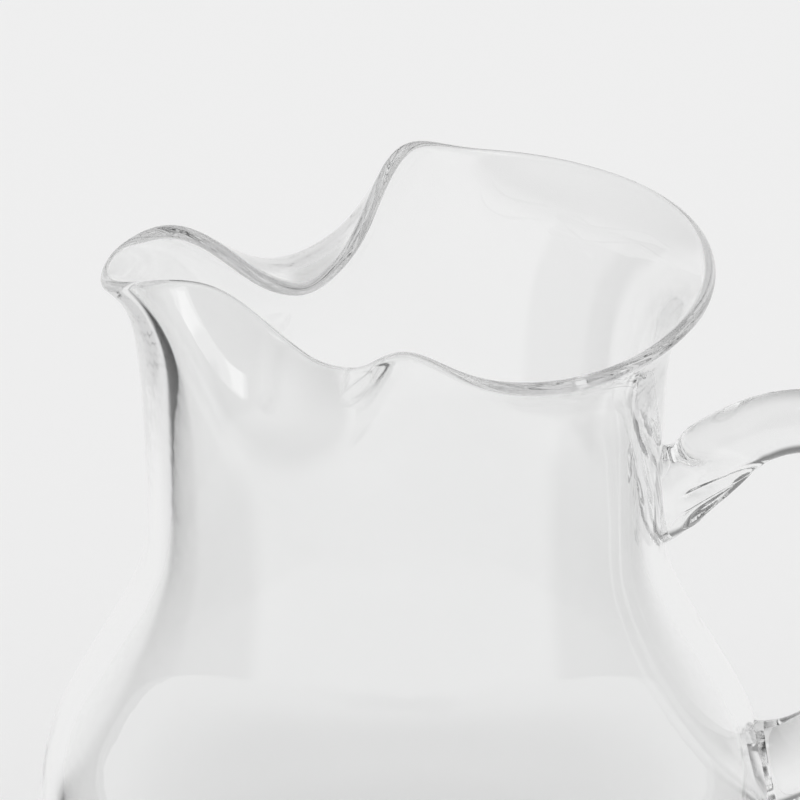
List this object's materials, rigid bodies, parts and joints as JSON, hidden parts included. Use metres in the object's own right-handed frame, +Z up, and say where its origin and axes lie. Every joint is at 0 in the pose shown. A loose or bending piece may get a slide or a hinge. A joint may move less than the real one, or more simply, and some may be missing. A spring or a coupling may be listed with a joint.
{
  "type": "glass jug",
  "caption": "Clear blown-glass jug with a round belly, a pinched ice lip, a pouring spout and a glass rod handle.",
  "frame": {"origin": "centre of the foot, on the surface that the jug stands on", "axes": "+Z up along the jug's axis, -X towards the spout, +X towards the handle"},
  "size_m": [0.1784, 0.1444, 0.1995],
  "materials": {
    "clear_glass": "clear colourless soda-lime glass, fire-polished and smooth all over"
  },
  "bodies": {
    "root": {"jug_body": "clear_glass", "handle": "clear_glass"}
  },
  "joints": []
}
